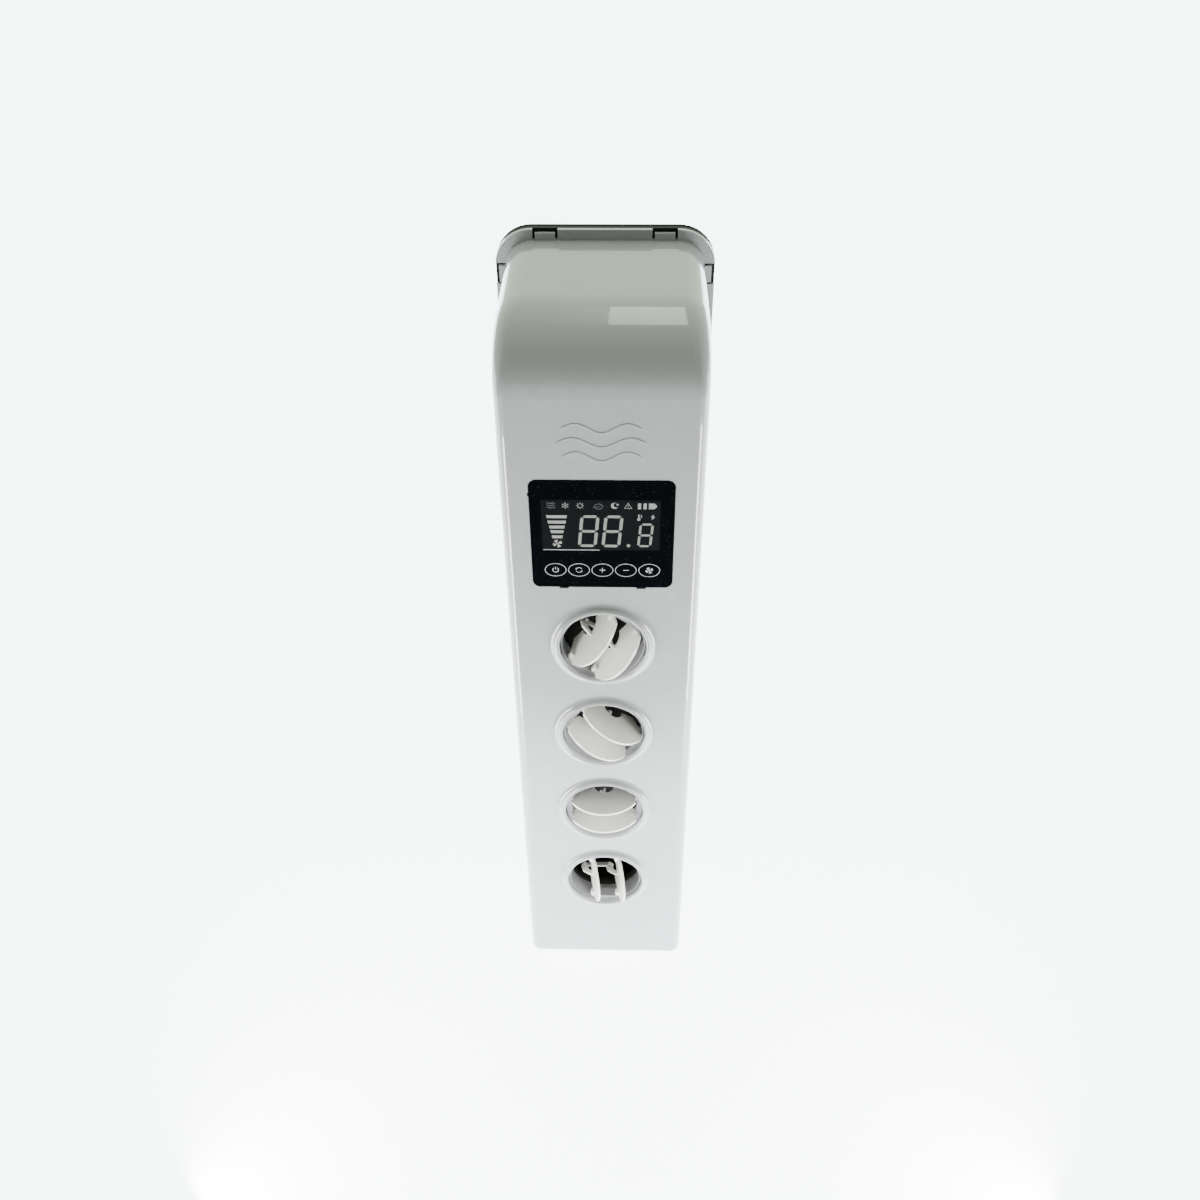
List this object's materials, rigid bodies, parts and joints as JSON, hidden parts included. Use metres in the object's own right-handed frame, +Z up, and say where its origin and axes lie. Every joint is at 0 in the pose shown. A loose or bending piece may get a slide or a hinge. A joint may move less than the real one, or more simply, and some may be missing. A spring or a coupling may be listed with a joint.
{
  "type": "wall-hung cab heater and cooler",
  "caption": "Slim wall-hung cab climate unit with a ceramic heater core, cooling coil, blower, touch display and a column of round swivel vents with tilting blades.",
  "frame": {"origin": "on the wall plane, at the centre of the four wall screws", "axes": "+X to the right seen from the front, +Y into the wall, +Z up"},
  "size_m": [0.144, 0.1516, 0.636],
  "materials": {
    "shell_plastic": "glossy moulded",
    "rotor_plastic": "satin moulded",
    "blade_plastic": "satin moulded",
    "link_plastic": "matte",
    "inner_plastic": "matte",
    "black_plate": "matte moulded",
    "black_rubber": "soft matte",
    "zinc_steel": "zinc plated",
    "grille_plastic": "matte",
    "filter_fleece": "woven fleece",
    "black_plastic": "matte",
    "duct_plastic": "matte",
    "aluminium": "mill finish",
    "ptc_ceramic": "ceramic; fired titanate",
    "brass_terminal": "plain",
    "wheel_plastic": "matte",
    "motor_can": "satin",
    "copper": "drawn copper",
    "panel_black": "high gloss",
    "lcd_cell": "glass cell",
    "board_green": "solder mask",
    "sensor_resin": "resin dipped"
  },
  "bodies": {
    "housing": {"air_divider": "duct_plastic", "air_duct": "duct_plastic", "air_filter": "filter_fleece", "air_sensor": "sensor_resin", "back_plate": "black_plate", "blower_case_front": "duct_plastic", "blower_case_rear": "duct_plastic", "blower_motor": "motor_can", "board_parts": "black_plastic", "cable_gland": "black_plastic", "coil_end_plates": "zinc_steel", "coil_fins": "aluminium", "coil_tubes": "copper", "control_board": "board_green", "cover_screws": "zinc_steel", "display_board": "board_green", "display_frame": "black_plastic", "display_lcd": "lcd_cell", "display_panel": "panel_black", "drain_hose": "black_rubber", "drip_tray": "duct_plastic", "front_cover": "shell_plastic", "heat_sink": "aluminium", "heater_fins": "aluminium", "heater_frame": "duct_plastic", "heater_stones": "ptc_ceramic", "heater_terminals": "brass_terminal", "heater_tubes": "aluminium", "intake_grille": "grille_plastic", "liquid_pipe": "copper", "pan_screws": "zinc_steel", "suction_pipe": "copper", "terminal_block": "black_plastic", "thermal_cutout": "black_plastic", "touch_sleeves": "black_rubber", "vent_1_retainer": "inner_plastic", "vent_2_retainer": "inner_plastic", "vent_3_retainer": "inner_plastic", "vent_4_retainer": "inner_plastic", "wall_seal": "black_rubber", "wall_spacers": "zinc_steel"},
    "vent_1_rotor": {"vent_1_rotor": "rotor_plastic"},
    "vent_1_blade_a": {"vent_1_blade_a": "blade_plastic"},
    "vent_1_blade_b": {"vent_1_blade_b": "blade_plastic"},
    "vent_1_link": {"vent_1_link": "link_plastic"},
    "vent_2_rotor": {"vent_2_rotor": "rotor_plastic"},
    "vent_2_blade_a": {"vent_2_blade_a": "blade_plastic"},
    "vent_2_blade_b": {"vent_2_blade_b": "blade_plastic"},
    "vent_2_link": {"vent_2_link": "link_plastic"},
    "vent_3_rotor": {"vent_3_rotor": "rotor_plastic"},
    "vent_3_blade_a": {"vent_3_blade_a": "blade_plastic"},
    "vent_3_blade_b": {"vent_3_blade_b": "blade_plastic"},
    "vent_3_link": {"vent_3_link": "link_plastic"},
    "vent_4_rotor": {"vent_4_rotor": "rotor_plastic"},
    "vent_4_blade_a": {"vent_4_blade_a": "blade_plastic"},
    "vent_4_blade_b": {"vent_4_blade_b": "blade_plastic"},
    "vent_4_link": {"vent_4_link": "link_plastic"},
    "blower_rotor": {"blower_wheel": "wheel_plastic", "blower_shaft": "zinc_steel"}
  },
  "joints": [
    {"name": "vent_1_swivel", "type": "hinge", "parent": "housing", "child": "vent_1_rotor", "pos_m": [0, -0.1345, 0.0642], "axis": [0, -1, 0], "continuous": true},
    {"name": "vent_1_blade_a_tilt", "type": "hinge", "parent": "vent_1_rotor", "child": "vent_1_blade_a", "pos_m": [-0.00812, -0.1319, 0.07054], "axis": [0.6157, 0, 0.788], "range_deg": [-49, 21]},
    {"name": "vent_1_link_turn", "type": "hinge", "parent": "vent_1_blade_a", "child": "vent_1_link", "pos_m": [-0.01327, -0.12219, 0.07457], "axis": [0.6157, 0, 0.788], "range_deg": [-21, 49]},
    {"name": "vent_1_blade_b_tilt", "type": "hinge", "parent": "vent_1_rotor", "child": "vent_1_blade_b", "pos_m": [0.00812, -0.1319, 0.05786], "axis": [0.6157, 0, 0.788], "range_deg": [-49, 21]},
    {"name": "vent_2_swivel", "type": "hinge", "parent": "housing", "child": "vent_2_rotor", "pos_m": [0, -0.1345, -0.0218], "axis": [0, -1, 0], "continuous": true},
    {"name": "vent_2_blade_a_tilt", "type": "hinge", "parent": "vent_2_rotor", "child": "vent_2_blade_a", "pos_m": [-0.00561, -0.1319, -0.03044], "axis": [-0.8387, 0, 0.5446], "range_deg": [-33, 37]},
    {"name": "vent_2_link_turn", "type": "hinge", "parent": "vent_2_blade_a", "child": "vent_2_link", "pos_m": [-0.00758, -0.12077, -0.03347], "axis": [-0.8387, 0, 0.5446], "range_deg": [-37, 33]},
    {"name": "vent_2_blade_b_tilt", "type": "hinge", "parent": "vent_2_rotor", "child": "vent_2_blade_b", "pos_m": [0.00561, -0.1319, -0.01316], "axis": [-0.8387, 0, 0.5446], "range_deg": [-33, 37]},
    {"name": "vent_3_swivel", "type": "hinge", "parent": "housing", "child": "vent_3_rotor", "pos_m": [0, -0.1345, -0.1078], "axis": [0, -1, 0], "continuous": true},
    {"name": "vent_3_blade_a_tilt", "type": "hinge", "parent": "vent_3_rotor", "child": "vent_3_blade_a", "pos_m": [0.00018, -0.1319, -0.1181], "axis": [-0.9998, 0, -0.0175], "range_deg": [-39, 31]},
    {"name": "vent_3_link_turn", "type": "hinge", "parent": "vent_3_blade_a", "child": "vent_3_link", "pos_m": [0.00026, -0.12121, -0.12286], "axis": [-0.9998, 0, -0.0175], "range_deg": [-31, 39]},
    {"name": "vent_3_blade_b_tilt", "type": "hinge", "parent": "vent_3_rotor", "child": "vent_3_blade_b", "pos_m": [-0.00018, -0.1319, -0.0975], "axis": [-0.9998, 0, -0.0175], "range_deg": [-39, 31]},
    {"name": "vent_4_swivel", "type": "hinge", "parent": "housing", "child": "vent_4_rotor", "pos_m": [0, -0.1345, -0.1938], "axis": [0, -1, 0], "continuous": true},
    {"name": "vent_4_blade_a_tilt", "type": "hinge", "parent": "vent_4_rotor", "child": "vent_4_blade_a", "pos_m": [-0.0103, -0.1319, -0.19398], "axis": [-0.0175, 0, 0.9998], "range_deg": [-49, 21]},
    {"name": "vent_4_link_turn", "type": "hinge", "parent": "vent_4_blade_a", "child": "vent_4_link", "pos_m": [-0.01684, -0.12219, -0.19409], "axis": [-0.0175, 0, 0.9998], "range_deg": [-21, 49]},
    {"name": "vent_4_blade_b_tilt", "type": "hinge", "parent": "vent_4_rotor", "child": "vent_4_blade_b", "pos_m": [0.0103, -0.1319, -0.19362], "axis": [-0.0175, 0, 0.9998], "range_deg": [-49, 21]},
    {"name": "blower_spin", "type": "hinge", "parent": "housing", "child": "blower_rotor", "pos_m": [0, -0.1045, 0.2185], "axis": [0, -1, 0], "continuous": true}
  ],
  "couplings": [
    {"joint": "vent_1_blade_b_tilt", "follows": "vent_1_blade_a_tilt", "ratio": 1},
    {"joint": "vent_1_link_turn", "follows": "vent_1_blade_a_tilt", "ratio": -1},
    {"joint": "vent_2_blade_b_tilt", "follows": "vent_2_blade_a_tilt", "ratio": 1},
    {"joint": "vent_2_link_turn", "follows": "vent_2_blade_a_tilt", "ratio": -1},
    {"joint": "vent_3_blade_b_tilt", "follows": "vent_3_blade_a_tilt", "ratio": 1},
    {"joint": "vent_3_link_turn", "follows": "vent_3_blade_a_tilt", "ratio": -1},
    {"joint": "vent_4_blade_b_tilt", "follows": "vent_4_blade_a_tilt", "ratio": 1},
    {"joint": "vent_4_link_turn", "follows": "vent_4_blade_a_tilt", "ratio": -1}
  ]
}
